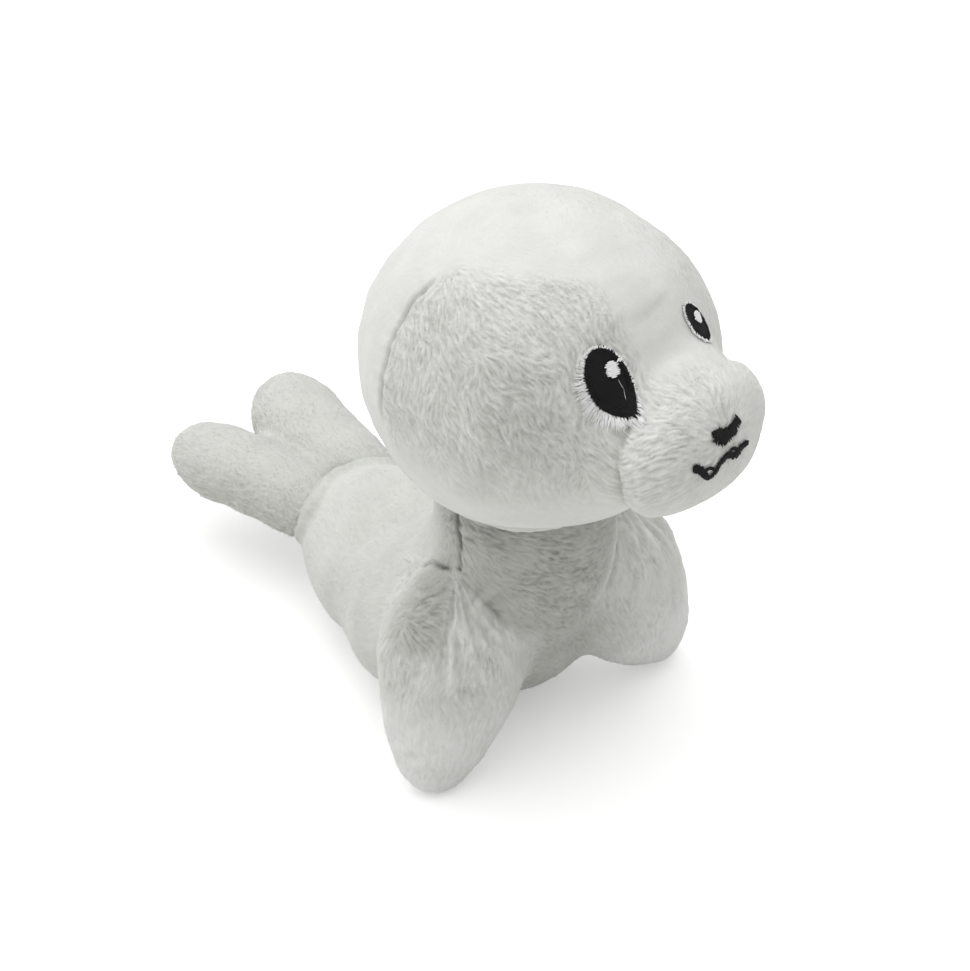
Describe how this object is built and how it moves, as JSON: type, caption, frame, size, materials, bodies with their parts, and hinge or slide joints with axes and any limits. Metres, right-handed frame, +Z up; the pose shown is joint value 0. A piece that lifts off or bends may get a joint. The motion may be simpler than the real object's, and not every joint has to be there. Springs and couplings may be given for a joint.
{
  "type": "plush seal pup",
  "caption": "Small stuffed seal pup lying with its head raised, in short pale grey pile, with stitched eyes, nose and mouth, fore flippers and a forked tail.",
  "frame": {"origin": "middle of the flat belly patch, on the ground", "axes": "+Z up, -Y the way the body faces, +X the seal's left"},
  "size_m": [0.0788, 0.1541, 0.1277],
  "materials": {
    "pale_grey_plush": "matte",
    "black_thread": "satin",
    "white_thread": "satin"
  },
  "bodies": {
    "root": {"head": "pale_grey_plush", "body": "pale_grey_plush", "fore_flipper_left": "pale_grey_plush", "fore_flipper_right": "pale_grey_plush", "tail": "pale_grey_plush", "eye_left": "black_thread", "eye_right": "black_thread", "nose": "black_thread", "mouth": "black_thread", "eye_glint_left": "white_thread", "eye_glint_right": "white_thread"}
  },
  "joints": []
}
